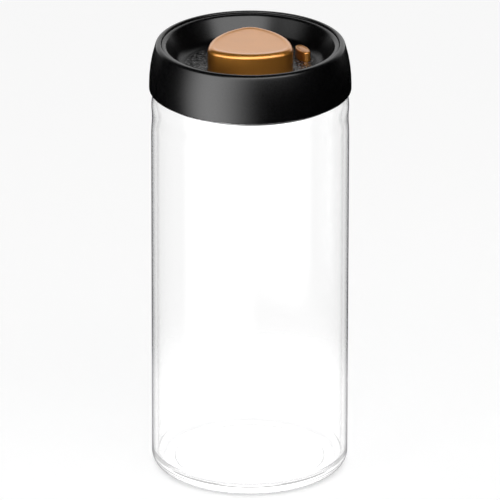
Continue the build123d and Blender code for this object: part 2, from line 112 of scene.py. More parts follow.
bpy.ops.object.select_all(action="DESELECT")
bpy.ops.object.camera_add()
camera = bpy.context.active_object
camera.name = "photo_camera"
camera.data.sensor_width = sensor_width
camera.data.lens = sensor_width * camera_distance * pixels_per_metre / picture_width
camera.data.clip_end = camera_reach
back_off = Vector((0, -cos(camera_elevation), sin(camera_elevation))) * camera_distance
camera.location = Vector((0, 0, aim_height)) + back_off
camera.rotation_euler = (-back_off).to_track_quat("-Z", "Y").to_euler()
camera.rotation_euler.rotate_axis("Z", camera_roll)
bpy.context.scene.camera = camera
print("lens", round(camera.data.lens, 1), "mm at", camera_distance, "m")

# %% [markdown]
# ## The studio
#
# The photograph has a white ground with hardly any shadow. The floor glows white for the
# camera, and for rays that pass through glass, and keeps a share of its shaded colour, so that
# the canister still stands on something. Around the foot, where the jar touches it, the glow
# dips, because a true shade that faint is lost in the white. Shiny things mirror only a white
# patch of the floor round the foot. Further out they look through it, into the painted room.

# %% Build small helpers for shader nodes
def set_inputs(node, values):
    """Set several sockets of a node by name."""
    for title, value in values.items():
        node.inputs[title].default_value = value


def calculate(tree, operation, first, second):
    """A Math node on two values, each a socket or a number."""
    node = tree.nodes.new("ShaderNodeMath")
    node.operation = operation
    for socket, value in zip(node.inputs, (first, second)):
        if isinstance(value, (int, float)):
            socket.default_value = value
        else:
            tree.links.new(value, socket)
    return node.outputs[0]


def fade(tree, value, low, high, from_value, to_value):
    """A value that eases from one level to another as the input goes from low to high."""
    node = tree.nodes.new("ShaderNodeMapRange")
    node.interpolation_type = "SMOOTHSTEP"
    set_inputs(node, {"From Min": low, "From Max": high, "To Min": from_value, "To Max": to_value})
    tree.links.new(value, node.inputs["Value"])
    return node.outputs["Result"]


def seen_directly(tree):
    """One for rays from the camera and rays through glass, nought for all others."""
    path = tree.nodes.new("ShaderNodeLightPath")
    camera_ray, glass_ray = path.outputs["Is Camera Ray"], path.outputs["Is Transmission Ray"]
    return calculate(tree, "MAXIMUM", camera_ray, glass_ray), path


def mix_shaders(tree, share, first, second):
    """A blend of two shaders: the first at nought, the second at one."""
    node = tree.nodes.new("ShaderNodeMixShader")
    for socket, value in zip(node.inputs, (share, first, second)):
        tree.links.new(value, socket)
    return node.outputs[0]


def grey(level):
    """A neutral opaque colour."""
    return (level, level, level, 1)


white = grey(1)
print("shader helpers ready, and white is", white)


# %% Lay the floor
floor_size = 14
floor_gap = 0.05 * mm
floor_glow = 0.80
floor_grey = 0.30
floor_roughness = 0.9
patch_glow = 0.2
patch_radius = 0.12
patch_fade = 0.12
contact_radius = 46.5 * mm
contact_inside = 4.0 * mm
contact_outside = 7.0 * mm
contact_shade = 0.30

bpy.ops.object.select_all(action="DESELECT")
bpy.ops.mesh.primitive_plane_add(size=floor_size, location=(0, 0, cad_low.z - floor_gap))
floor = bpy.context.active_object
floor.name = "studio_floor"
paint = bpy.data.materials.new("studio_white")
paint.use_nodes = True
surface = paint.node_tree.nodes["Principled BSDF"]
set_inputs(surface, {"Base Color": grey(floor_grey), "Roughness": floor_roughness})
set_inputs(surface, {"Specular IOR Level": 0, "Emission Color": white})
tree = paint.node_tree
direct, path = seen_directly(tree)
glossy_ray = path.outputs["Is Glossy Ray"]
where = tree.nodes.new("ShaderNodeTexCoord")
reach = tree.nodes.new("ShaderNodeVectorMath")
reach.operation = "LENGTH"
tree.links.new(where.outputs["Object"], reach.inputs[0])
patch = fade(tree, reach.outputs["Value"], patch_radius, patch_radius + patch_fade, 1, 0)
in_patch = calculate(tree, "MULTIPLY", calculate(tree, "MULTIPLY", glossy_ray, patch), patch_glow)
distance = reach.outputs["Value"]
shade_in = fade(tree, distance, contact_radius - contact_inside, contact_radius, 0, contact_shade)
shade_out = fade(tree, distance, contact_radius, contact_radius + contact_outside, 1, 0)
lit = calculate(tree, "SUBTRACT", floor_glow, calculate(tree, "MULTIPLY", shade_in, shade_out))
glow = calculate(tree, "ADD", calculate(tree, "MULTIPLY", direct, lit), in_patch)
tree.links.new(glow, surface.inputs["Emission Strength"])
passes = calculate(tree, "MULTIPLY", glossy_ray, calculate(tree, "SUBTRACT", 1, patch))
clear = tree.nodes.new("ShaderNodeBsdfTransparent")
seen = mix_shaders(tree, passes, surface.outputs[0], clear.outputs[0])
tree.links.new(seen, tree.nodes["Material Output"].inputs["Surface"])
floor.data.materials.append(paint)
print("floor", floor_size, "m across, with a patch of", patch_radius, "m for shiny things")

# %% [markdown]
# What shiny things mirror is set apart from what lights them, because a product photographer
# does the same with cards and boxes. Black plastic and metal look as they do through three
# things that they mirror: the white wall behind, a tall soft box at the front left that draws
# the sheen on the lid's side, and a wide one high over the front that lights the dish's far
# wall and draws the bright line round the button. They are painted into the room by direction.

# %% Paint what shiny surfaces mirror
room_fill = 0.35
wall_level = 1.06
front_level = 0.0
wall_edge = 0.55
wall_full = 0.88
wall_foot = -0.2
wall_top = 0.62
wall_fade = 0.22

world = bpy.data.worlds.new("white_room")
world.use_nodes = True
bpy.context.scene.world = world
tree = world.node_tree
background = tree.nodes["Background"]
place = tree.nodes.new("ShaderNodeTexCoord")
apart = tree.nodes.new("ShaderNodeSeparateXYZ")
tree.links.new(place.outputs["Generated"], apart.inputs[0])
to_left = calculate(tree, "MULTIPLY", apart.outputs["X"], -1)
to_front = calculate(tree, "MULTIPLY", apart.outputs["Y"], -1)
bearing = calculate(tree, "ARCTAN2", to_left, to_front)
rise = apart.outputs["Z"]


def painted_box(rise_in, rise_out, bearing_in, bearing_out, level):
    """A soft edged box of light: each edge eases between two angles, left of the front."""
    share = fade(tree, rise, sin(radians(rise_in[0])), sin(radians(rise_in[1])), 0, level)
    edges = (
        fade(tree, rise, sin(radians(rise_out[0])), sin(radians(rise_out[1])), 1, 0),
        fade(tree, bearing, radians(bearing_in[0]), radians(bearing_in[1]), 0, 1),
        fade(tree, bearing, radians(bearing_out[0]), radians(bearing_out[1]), 1, 0),
    )
    for edge in edges:
        share = calculate(tree, "MULTIPLY", share, edge)
    return share


behind = fade(tree, apart.outputs["Y"], wall_edge, wall_full, front_level, wall_level)
not_high = fade(tree, rise, wall_top, wall_top + wall_fade, 1, 0)
not_low = fade(tree, rise, wall_foot, 0, 0, 1)
mirrored = calculate(tree, "MULTIPLY", calculate(tree, "MULTIPLY", behind, not_high), not_low)
left_box = painted_box(
    rise_in=(-60, -45), rise_out=(18, 40), bearing_in=(-14, 46), bearing_out=(50, 90), level=4.6
)
high_box = painted_box(
    rise_in=(12, 28), rise_out=(48, 60), bearing_in=(-68, -54), bearing_out=(20, 34), level=4.0
)
for box in (left_box, high_box):
    mirrored = calculate(tree, "ADD", mirrored, box)
direct, path = seen_directly(tree)
in_gloss = calculate(tree, "MULTIPLY", path.outputs["Is Glossy Ray"], mirrored)
in_fill = calculate(tree, "MULTIPLY", path.outputs["Is Diffuse Ray"], room_fill)
level = calculate(tree, "ADD", calculate(tree, "ADD", direct, in_gloss), in_fill)
tree.links.new(level, background.inputs["Strength"])
background.inputs["Color"].default_value = white
bpy.context.scene.view_settings.view_transform = "Standard"
print("room painted with", len(tree.nodes), "nodes")

# %% [markdown]
# Two area lamps, each on the same side as one of the painted boxes, light all that is not
# shiny. Light bounces many times inside the thick glass foot, so rays get more bounces.

# %% Hang the lamps
def soft_lamp(name, place, aim, width, height, radiance):
    """A rectangular area lamp that shines at a point with an even brightness of its face."""
    bpy.ops.object.select_all(action="DESELECT")
    bpy.ops.object.light_add(type="AREA", location=place)
    lamp = bpy.context.active_object
    lamp.name = name
    lamp.data.shape = "RECTANGLE"
    lamp.data.size = width
    lamp.data.size_y = height
    lamp.data.energy = radiance * pi * width * height
    lamp.rotation_euler = (Vector(aim) - Vector(place)).to_track_quat("-Z", "Y").to_euler()
    lamp.visible_camera = False
    lamp.visible_transmission = False
    lamp.visible_glossy = False
    return lamp


lid_centre = (0, 0, 0.225)
most_bounces = 24
most_glossy_bounces = 16
lamps = [
    soft_lamp("left_lamp", (-0.43, -0.45, 0.41), (0, 0, 0.41), width=0.24, height=0.80, radiance=2.0),
    soft_lamp("high_lamp", (0.25, -0.62, 0.90), lid_centre, width=1.00, height=0.60, radiance=2.2),
]
bpy.context.scene.cycles.max_bounces = most_bounces
bpy.context.scene.cycles.glossy_bounces = most_glossy_bounces
bpy.context.scene.cycles.transmission_bounces = most_bounces
for lamp in lamps:
    print(lamp.name, "shines with", round(lamp.data.energy, 2), "W")

# %% [markdown]
# ## Finishes
#
# Moulded plastic, coated metal and silicone all have a fine grain that breaks up their shine.
# It is one effect with different values, so it is built once, as a node group with named
# sockets, and placed in each material. It reads Object coordinates, so the grain keeps its
# real size on every piece.

# %% Build the grain group
grain_detail = 2
patch_detail = 3
noise_middle = 0.5


def new_group(name, inputs, outputs):
    """An empty shader node group with named sockets: name, kind and starting value."""
    group = bpy.data.node_groups.new(name, "ShaderNodeTree")
    for title, kind, value in inputs:
        socket = group.interface.new_socket(title, in_out="INPUT", socket_type=kind)
        socket.default_value = value
    for title, kind in outputs:
        group.interface.new_socket(title, in_out="OUTPUT", socket_type=kind)
    entry = group.nodes.new("NodeGroupInput")
    leave = group.nodes.new("NodeGroupOutput")
    return group, entry, leave


grain_group, entry, leave = new_group(
    "fine_grain",
    [
        ("Grains Per Metre", "NodeSocketFloat", 3000),
        ("Patches Per Metre", "NodeSocketFloat", 40),
        ("Roughness", "NodeSocketFloat", 0.4),
        ("Grain Spread", "NodeSocketFloat", 0.05),
        ("Patch Spread", "NodeSocketFloat", 0.03),
    ],
    [("Roughness", "NodeSocketFloat"), ("Height", "NodeSocketFloat"), ("Patches", "NodeSocketFloat")],
)
where = grain_group.nodes.new("ShaderNodeTexCoord")
grains = grain_group.nodes.new("ShaderNodeTexNoise")
grains.inputs["Detail"].default_value = grain_detail
patches = grain_group.nodes.new("ShaderNodeTexNoise")
patches.inputs["Detail"].default_value = patch_detail
for texture, rate in ((grains, "Grains Per Metre"), (patches, "Patches Per Metre")):
    grain_group.links.new(where.outputs["Object"], texture.inputs["Vector"])
    grain_group.links.new(entry.outputs[rate], texture.inputs["Scale"])
rough = entry.outputs["Roughness"]
for texture, spread in ((grains, "Grain Spread"), (patches, "Patch Spread")):
    centred = calculate(grain_group, "SUBTRACT", texture.outputs["Fac"], noise_middle)
    scaled = calculate(grain_group, "MULTIPLY", centred, entry.outputs[spread])
    rough = calculate(grain_group, "ADD", rough, scaled)
grain_group.links.new(rough, leave.inputs["Roughness"])
grain_group.links.new(grains.outputs["Fac"], leave.inputs["Height"])
grain_group.links.new(patches.outputs["Fac"], leave.inputs["Patches"])
print(grain_group.name, "has", len(grain_group.nodes), "nodes")


# %% Start a material with that grain
tint_spread = 0.12


def grained_material(name, color, metallic, roughness, grain_rate, grain_depth, spreads):
    """A Principled material whose roughness and fine bump come from the grain group."""
    material = bpy.data.materials.new(name)
    material.use_nodes = True
    tree = material.node_tree
    surface = tree.nodes["Principled BSDF"]
    surface.inputs["Metallic"].default_value = metallic
    grain = tree.nodes.new("ShaderNodeGroup")
    grain.node_tree = grain_group
    set_inputs(grain, {"Grains Per Metre": grain_rate, "Roughness": roughness})
    set_inputs(grain, {"Grain Spread": spreads[0], "Patch Spread": spreads[1]})
    tree.links.new(grain.outputs["Roughness"], surface.inputs["Roughness"])
    bump = tree.nodes.new("ShaderNodeBump")
    set_inputs(bump, {"Strength": 1, "Distance": grain_depth})
    tree.links.new(grain.outputs["Height"], bump.inputs["Height"])
    tree.links.new(bump.outputs["Normal"], surface.inputs["Normal"])
    tint = tree.nodes.new("ShaderNodeMix")
    tint.data_type = "RGBA"
    tint.inputs["A"].default_value = (*[c * (1 - tint_spread) for c in color], 1)
    tint.inputs["B"].default_value = (*[min(1, c * (1 + tint_spread)) for c in color], 1)
    tree.links.new(grain.outputs["Patches"], tint.inputs["Factor"])
    tree.links.new(tint.outputs["Result"], surface.inputs["Base Color"])
    print("mixed", name)
    return material, surface, bump, tint


print("patches of a finish are up to", tint_spread, "paler or darker than its colour")

# %% [markdown]
# ### Black moulded plastic
#
# The ring is satin black with a very fine spark-eroded grain. The floor of the dish has a
# coarser, scaly texture, and paler grey specks are painted on it as glints, as if the scales
# caught the light. One material does both: a mask made from the height and the distance from
# the axis turns the scales and the painted glints on only there.

# %% Mix the black plastic
dish_low, dish_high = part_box("lid_dish")
button_low, button_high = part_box("pump_button")
pump_stroke = 7 * mm
pressed_stand = 6.3 * mm
dish_floor_top = button_high.z - pump_stroke - pressed_stand
flat_floor_radius = 34.4 * mm
scale_rate = 620
scale_depth = 0.5 * mm
glint_rate = 780
glint_grey = 0.15
glint_none = 0.50
glint_full = 0.68
glint_detail = 1
scale_smoothness = 0.35
warps_per_scale = 1 / 3
warp_reach = 1.2
mask_inside = 0.6 * mm
mask_outside = 0.4 * mm
mask_low = 0.05 * mm
mask_high = 0.2 * mm

black_plastic, surface, bump, tint = grained_material(
    "black_plastic", color=(0.0015, 0.0015, 0.0017), metallic=0, roughness=0.27,
    grain_rate=5200, grain_depth=0.006 * mm, spreads=(0.06, 0.04),
)
tree = black_plastic.node_tree
where = tree.nodes.new("ShaderNodeTexCoord")
apart = tree.nodes.new("ShaderNodeSeparateXYZ")
tree.links.new(where.outputs["Object"], apart.inputs[0])
flat = tree.nodes.new("ShaderNodeCombineXYZ")
tree.links.new(apart.outputs["X"], flat.inputs["X"])
tree.links.new(apart.outputs["Y"], flat.inputs["Y"])
reach = tree.nodes.new("ShaderNodeVectorMath")
reach.operation = "LENGTH"
tree.links.new(flat.outputs[0], reach.inputs[0])
distance = reach.outputs["Value"]
inside = fade(tree, distance, flat_floor_radius - mask_inside, flat_floor_radius + mask_outside, 1, 0)
low_enough = fade(tree, apart.outputs["Z"], dish_floor_top + mask_low, dish_floor_top + mask_high, 1, 0)
on_floor = calculate(tree, "MULTIPLY", inside, low_enough)
warp = tree.nodes.new("ShaderNodeTexNoise")
warp.inputs["Scale"].default_value = scale_rate * warps_per_scale
tree.links.new(where.outputs["Object"], warp.inputs["Vector"])
warped = tree.nodes.new("ShaderNodeVectorMath")
warped.operation = "MULTIPLY_ADD"
warped.inputs[1].default_value = Vector((1, 1, 1)) * warp_reach / scale_rate
tree.links.new(warp.outputs["Color"], warped.inputs[0])
tree.links.new(where.outputs["Object"], warped.inputs[2])
scales = tree.nodes.new("ShaderNodeTexVoronoi")
scales.feature = "SMOOTH_F1"
set_inputs(scales, {"Scale": scale_rate, "Smoothness": scale_smoothness})
tree.links.new(warped.outputs[0], scales.inputs["Vector"])
scale_height = calculate(tree, "MULTIPLY", scales.outputs["Distance"], on_floor)
scale_bump = tree.nodes.new("ShaderNodeBump")
scale_bump.invert = True
scale_bump.inputs["Distance"].default_value = scale_depth
tree.links.new(scale_height, scale_bump.inputs["Height"])
tree.links.new(bump.outputs["Normal"], scale_bump.inputs["Normal"])
tree.links.new(scale_bump.outputs["Normal"], surface.inputs["Normal"])
# Paler grey specks on the dish's floor are painted glints of light on the scales.
glint_noise = tree.nodes.new("ShaderNodeTexNoise")
set_inputs(glint_noise, {"Scale": glint_rate, "Detail": glint_detail})
tree.links.new(where.outputs["Object"], glint_noise.inputs["Vector"])
glint = fade(tree, glint_noise.outputs["Fac"], glint_none, glint_full, 0, 1)
painted_glints = tree.nodes.new("ShaderNodeMix")
painted_glints.data_type = "RGBA"
painted_glints.inputs["B"].default_value = grey(glint_grey)
glint_share = calculate(tree, "MULTIPLY", glint, on_floor)
tree.links.new(tint.outputs["Result"], painted_glints.inputs["A"])
tree.links.new(glint_share, painted_glints.inputs["Factor"])
tree.links.new(painted_glints.outputs["Result"], surface.inputs["Base Color"])

# %% Mix the plain inner plastic
inner_plastic = grained_material(
    "inner_plastic", color=(0.03, 0.03, 0.033), metallic=0, roughness=0.45,
    grain_rate=4000, grain_depth=0.01 * mm, spreads=(0.06, 0.05),
)[0]

# %% [markdown]
# ### Bronze coating
#
# The buttons are plastic with a metallic coating under clear lacquer. The metal gives the
# deep brown of the sides. The lacquer adds a pale sheen where the light grazes it, and that is
# why the flat top looks tan rather than brown.

# %% Mix the bronze coating
bronze, surface, *_ = grained_material(
    "bronze_coating", color=(0.70, 0.285, 0.045), metallic=0.85, roughness=0.40,
    grain_rate=9000, grain_depth=0.004 * mm, spreads=(0.10, 0.03),
)
set_inputs(surface, {"Coat Weight": 1, "Coat Roughness": 0.22, "Coat IOR": 1.5})

# %% Mix the silicone, the steel and the filter mesh
silicone, surface, *_ = grained_material(
    "silicone", color=(0.62, 0.63, 0.63), metallic=0, roughness=0.42,
    grain_rate=2500, grain_depth=0.01 * mm, spreads=(0.05, 0.05),
)
set_inputs(surface, {"Subsurface Weight": 0.35, "Subsurface Radius": (1, 1, 1), "Subsurface Scale": 0.8 * mm})
steel = grained_material(
    "steel", color=(0.55, 0.55, 0.57), metallic=1, roughness=0.28,
    grain_rate=7000, grain_depth=0.004 * mm, spreads=(0.12, 0.05),
)[0]
filter_mesh = grained_material(
    "filter_mesh", color=(0.78, 0.78, 0.75), metallic=0, roughness=0.8,
    grain_rate=3000, grain_depth=0.05 * mm, spreads=(0.05, 0.05),
)[0]

# %% [markdown]
# ### Clear glass
#
# Glass is a Principled surface that lets everything through. Towards its outline the wall is
# seen edge on, and its colour turns grey by how much the surface faces the viewer: partly the
# glass's own grey over a long path, partly painted shade for the dark surroundings it shows.
# Only the first walls that a ray meets get this painted edge shade, or the thick foot would
# turn black. A ray that still wanders in the foot after more walls ends in a painted pale grey
# glow, which stands in for the stray light in there.
# Shadow rays pass straight through with some loss, so the floor darkens a little.

# %% Mix the glass
glass_ior = 1.5
shadow_tint = (0.70, 0.70, 0.73, 1)
edge_shade_start = 0.74
edge_shade_full = 0.90
painted_edge_shade = (0.12, 0.12, 0.14, 1)
edge_shaded_walls = 3
stray_glow_walls = 7
stray_glow_level = 0.60
clear_glass = bpy.data.materials.new("clear_glass")
clear_glass.use_nodes = True
tree = clear_glass.node_tree
surface = tree.nodes["Principled BSDF"]
set_inputs(surface, {"Roughness": 0, "IOR": glass_ior, "Transmission Weight": 1})
# From white where the glass faces the viewer to grey at its outline: partly the glass's own grey, partly
# painted shade.
facing = tree.nodes.new("ShaderNodeLayerWeight")
facing.inputs["Blend"].default_value = 0.5
ramp = tree.nodes.new("ShaderNodeValToRGB")
for stop, position, color in zip(ramp.color_ramp.elements, (edge_shade_start, edge_shade_full), (white, painted_edge_shade)):
    stop.position, stop.color = position, color
tree.links.new(facing.outputs["Facing"], ramp.inputs["Fac"])
# Only the first walls that a ray meets get the painted edge shade.
path = tree.nodes.new("ShaderNodeLightPath")
early = calculate(tree, "LESS_THAN", path.outputs["Ray Depth"], edge_shaded_walls)
tint = tree.nodes.new("ShaderNodeMix")
tint.data_type = "RGBA"
tint.inputs["A"].default_value = white
tree.links.new(early, tint.inputs["Factor"])
tree.links.new(ramp.outputs["Color"], tint.inputs["B"])
tree.links.new(tint.outputs["Result"], surface.inputs["Base Color"])
clear = tree.nodes.new("ShaderNodeBsdfTransparent")
clear.inputs["Color"].default_value = shadow_tint
# A painted glow: rays that wander deep in the foot end in pale grey light.
painted_stray_glow = tree.nodes.new("ShaderNodeEmission")
painted_stray_glow.inputs["Strength"].default_value = stray_glow_level
late = calculate(tree, "GREATER_THAN", path.outputs["Ray Depth"], stray_glow_walls)
wandered = mix_shaders(tree, late, surface.outputs[0], painted_stray_glow.outputs[0])
seen = mix_shaders(tree, path.outputs["Is Shadow Ray"], wandered, clear.outputs[0])
tree.links.new(seen, tree.nodes["Material Output"].inputs["Surface"])
finishes = {
    "clear_glass": clear_glass,
    "black_plastic": black_plastic,
    "bronze_finish": bronze,
    "inner_plastic": inner_plastic,
    "silicone": silicone,
    "steel": steel,
    "filter_mesh": filter_mesh,
}
print("finishes for the slots:", list(finishes))

# %% [markdown]
# ## Turning on a lathe
#
# Most of the canister is round. Such a piece is turned: half of its section is drawn as a
# chain of points in the XZ plane, and spun about the Z axis. The chain starts as a single
# point. A straight stretch is an extrude of the last point, and a rounded corner is a spin of
# it about the corner's own centre, so every rounding is a true arc.

# %% Draw a chain of points
points_per_turn = 56
least_arc_steps = 4
join_distance = 0.002 * mm
lathe_steps = 192


def start_point(name, place):
    """A new piece in edit mode that holds one selected point."""
    bpy.ops.object.select_all(action="DESELECT")
    bpy.ops.mesh.primitive_plane_add(size=mm)
    piece = bpy.context.active_object
    piece.name = name
    piece.data.name = name
    bpy.ops.object.mode_set(mode="EDIT")
    bpy.ops.mesh.select_mode(type="VERT")
    bpy.ops.mesh.select_all(action="SELECT")
    bpy.ops.mesh.merge(type="CENTER")
    bpy.ops.transform.translate(value=place)
    return piece


def line_to(here, there):
    """Extrude the selected point in a straight line."""
    step = Vector(there) - Vector(here)
    if step.length > join_distance:
        bpy.ops.mesh.extrude_vertices_move(TRANSFORM_OT_translate={"value": step})
    return Vector(there)


def arc_to(centre, angle, axis):
    """Spin the selected point about a centre, anticlockwise seen from the axis's tip."""
    steps = max(least_arc_steps, ceil(abs(angle) / (2 * pi) * points_per_turn))
    bpy.ops.mesh.spin(steps=steps, angle=-angle, center=centre, axis=axis)


print("arcs take", points_per_turn, "points a turn, turned pieces take", lathe_steps, "steps")


# %% Turn a piece from its corners
def turned_piece(name, corners):
    """A piece turned from a closed chain of corners: radius, height, rounding."""
    count = len(corners)
    stops = []
    for i, (radius, height, rounding) in enumerate(corners):
        here = Vector((radius, 0, height))
        last = Vector((corners[i - 1][0], 0, corners[i - 1][1]))
        after = Vector((corners[(i + 1) % count][0], 0, corners[(i + 1) % count][1]))
        if rounding == 0:
            stops.append((here, None, 0, here))
            continue
        inward, outward = (last - here).normalized(), (after - here).normalized()
        turn = pi - inward.angle(outward)
        reach = rounding * tan(turn / 2)
        bisector = (inward + outward).normalized()
        centre = here + bisector * (rounding / cos(turn / 2))
        side = inward.cross(outward).y
        turn = turn if side < 0 else -turn
        stops.append((here + inward * reach, centre, turn, here + outward * reach))
    piece = start_point(name, stops[0][0])
    place = stops[0][0]
    for start, centre, angle, end in stops:
        place = line_to(place, start)
        if centre is not None:
            arc_to(centre, angle, (0, 1, 0))
            place = end
    line_to(place, stops[0][0])
    bpy.ops.mesh.select_all(action="SELECT")
    bpy.ops.mesh.remove_doubles(threshold=join_distance)
    bpy.ops.mesh.select_all(action="SELECT")
    bpy.ops.mesh.spin(steps=lathe_steps, angle=2 * pi, center=(0, 0, 0), axis=(0, 0, 1))
    bpy.ops.mesh.select_all(action="SELECT")
    bpy.ops.mesh.remove_doubles(threshold=join_distance)
    bpy.ops.mesh.select_all(action="SELECT")
    bpy.ops.mesh.normals_make_consistent(inside=False)
    bpy.ops.object.mode_set(mode="OBJECT")
    widest = round(max(piece.dimensions) / mm, 2)
    print(name, "has", len(piece.data.polygons), "faces and reaches", widest, "mm")
    return piece


print("a chain of corners can now be turned")

# %% Finish a piece
sharp_degrees = 32


def take_alone(piece):
    """Deselect everything else and make the piece the active one."""
    bpy.ops.object.select_all(action="DESELECT")
    piece.select_set(True)
    bpy.context.view_layer.objects.active = piece


def finish_piece(piece, slot, body, replaced, presser=None):
    """Smooth shading, a finish, a body to ride on and the nodes that the piece stands for.

    A spring, which has a presser, is left on no body, with its place baked into its mesh.
    """
    take_alone(piece)
    bpy.ops.object.shade_smooth_by_angle(angle=radians(sharp_degrees))
    piece.data.materials.clear()
    piece.data.materials.append(finishes[slot])
    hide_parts(*replaced)
    if presser is None:
        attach(piece, body)
        return
    bpy.ops.object.parent_clear(type="CLEAR_KEEP_TRANSFORM")
    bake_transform(piece)


print("edges that turn by more than", sharp_degrees, "degrees stay crisp")

# %% [markdown]
# ## The glass jar
#
# The jar is blown with a thick base, a ring that it stands on and a wall that steps in at the
# neck. Just under the lid the wall draws in by half a millimetre and comes back. That faint
# waist is what bends the outline in the photograph, so it is drawn here as four corners with
# very large roundings. Each has its drop below the rim, its inset and its rounding.

# %% Turn the jar
jar_low, jar_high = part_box("glass_jar")
jar_radius = 52.0 * mm
glass_wall = 2.8 * mm
jar_base = 5.0 * mm
foot_rounding = 6.5 * mm
inside_rounding = 4.5 * mm
foot_width = 5.5 * mm
foot_recess = 0.6 * mm
neck_inset = 0.8 * mm
waist_inset = 0.5 * mm
rim_fullness_share = 0.995
waist_corners = [
    (30 * mm, 0, 100 * mm),
    (22.5 * mm, waist_inset, 45 * mm),
    (15.5 * mm, 0, 24 * mm),
    (9.5 * mm, neck_inset, 38 * mm),
]


def jar_wall(depth):
    """The corners of one side of the wall, a depth inside the glass, from below the waist up."""
    return [
        (jar_radius - depth - inset, jar_high.z - drop, rounding)
        for drop, inset, rounding in waist_corners
    ]


stand = jar_radius - foot_rounding
rim_rounding = glass_wall / 2 * rim_fullness_share
neck = jar_radius - neck_inset
jar_corners = [
    (0, foot_recess, 0),
    (stand - foot_width - foot_recess, foot_recess, 0),
    (stand - foot_width, 0, 0),
    (jar_radius, 0, foot_rounding),
    *jar_wall(0),
    (neck, jar_high.z, rim_rounding),
    (neck - glass_wall, jar_high.z, rim_rounding),
    *reversed(jar_wall(glass_wall)),
    (jar_radius - glass_wall, jar_base, inside_rounding),
    (0, jar_base, 0),
]
jar = turned_piece("jar_glass", jar_corners)
finish_piece(jar, "clear_glass", "jar", ["glass_jar"])

# %% [markdown]
# ## The ring and the dish of the lid
#
# The lid's black top is two mouldings. The ring outside is what the hand grips. Its side
# stands upright, then leans in towards a rounded crest. The dish is pressed into it, and a
# thin seam shows between the two just inside the crest.

# %% Turn the ring
ring_low, ring_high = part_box("outer_ring")
ring_radius = ring_high.x
skirt_wall = 1.6 * mm
crest_inset = 3.7 * mm
lean_drop = 12.6 * mm
channel_drop = 7.5 * mm
seam_radius = 46.8 * mm
inner_wall = 1.6 * mm
hem_inner_rounding = 0.3 * mm
hem_outer_rounding = 0.8 * mm
lean_rounding = 70 * mm
crest_rounding = 2.1 * mm
seam_rounding = 0.8 * mm
channel_rounding = 0.6 * mm
flange_thickness = 2.2 * mm
flange_gap = 0.2 * mm
flange_top = jar_high.z + flange_thickness
lean_z = ring_high.z - lean_drop
channel_z = ring_high.z - channel_drop
lean_share = (channel_z - lean_z) / lean_drop
ring_corners = [
    (ring_radius - skirt_wall, ring_low.z, hem_inner_rounding),
    (ring_radius, ring_low.z, hem_outer_rounding),
    (ring_radius, lean_z, lean_rounding),
    (ring_radius - crest_inset, ring_high.z, crest_rounding),
    (seam_radius, ring_high.z, seam_rounding),
    (seam_radius, flange_top, 0),
    (seam_radius + inner_wall, flange_top, 0),
    (seam_radius + inner_wall, channel_z, channel_rounding),
    (ring_radius - skirt_wall - crest_inset * lean_share, channel_z, channel_rounding),
    (ring_radius - skirt_wall, flange_top + flange_gap, 0),
]
ring = turned_piece("grip_ring", ring_corners)
finish_piece(ring, "black_plastic", "lid", ["outer_ring"])

# %% Turn the dish
dish_radius = dish_high.x
dish_wall = 2.1 * mm
dish_foot_wall = 2.0 * mm
dish_floor = 1.5 * mm
wall_lean = 6.7 * mm
cove_radius = 6.0 * mm
dish_rim_rounding = 0.5 * mm
dish_lip_rounding = 2.0 * mm
basin_radius = dish_radius - dish_wall
foot_radius = dish_radius - dish_foot_wall
relief_radius = basin_radius - wall_lean
dish_under = dish_floor_top - dish_floor
dish_corners = [
    (0, dish_floor_top, 0),
    (relief_radius, dish_floor_top, cove_radius),
    (basin_radius, dish_high.z, dish_lip_rounding),
    (dish_radius, dish_high.z, dish_rim_rounding),
    (dish_radius, flange_top, 0),
    (foot_radius, flange_top, 0),
    (foot_radius, dish_under + foot_radius - relief_radius, 0),
    (relief_radius, dish_under, 0),
    (0, dish_under, 0),
]
dish = turned_piece("button_dish", dish_corners)

# %% [markdown]
# ## The two buttons
#
# The pump button is a rounded triangle: three corner arcs of 10 mm and three long bulging
# sides, each tangent to the next. The vent button is an oval of two end arcs and two sides.
# The outlines are spun arc by arc, like the chains above but flat. The face is then raised by
# extrude, stepped in by inset, and its top edge bevelled.

# %% Draw the two outlines
button_flange = 2.0 * mm
corner_rounding = 10.0 * mm
corner_reach = button_high.y - button_flange
side_reach = -button_low.y - button_flange
corner_excess = corner_reach - side_reach
corner_centre = corner_reach - corner_rounding
side_centre = (2 * corner_excess * corner_centre - corner_excess**2) / (corner_centre - 2 * corner_excess)
corner_count = 3


def heading(bearing, reach, height=0.0):
    """A point at a distance from the axis, on a bearing counted from +X."""
    return Vector((reach * cos(bearing), reach * sin(bearing), height))


def triangle_outline(name, grow, height):
    """The pump button's outline as a closed chain, grown outwards by a distance."""
    first = pi / 2
    step = 2 * pi / corner_count
    corner = heading(first, corner_centre, height)
    side = heading(first - step / 2, -side_centre, height)
    start = corner + (corner - side).normalized() * (corner_rounding + grow)
    toward = (corner - side).normalized()
    half_corner = first - atan2(toward.y, toward.x)
    piece = start_point(name, start)
    for k in range(corner_count):
        bearing = first + step * k
        arc_to(heading(bearing, corner_centre, height), 2 * half_corner, (0, 0, 1))
        side_bearing = bearing + step / 2
        arc_to(heading(side_bearing, -side_centre, height), step - 2 * half_corner, (0, 0, 1))
    bpy.ops.mesh.select_all(action="SELECT")
    bpy.ops.mesh.remove_doubles(threshold=join_distance)
    return piece


reaches = [round(reach / mm, 2) for reach in (corner_reach, side_reach)]
print("the pump button's corners and sides reach", reaches, "mm from its axis")
vent_low, vent_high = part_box("vent_button")
vent_centre = (vent_low + vent_high) / 2
vent_turn = radians(-66.8)
vent_length = 13.0 * mm
vent_width = 6.4 * mm
vent_end_rounding = 2.5 * mm
vent_flange = 1.2 * mm


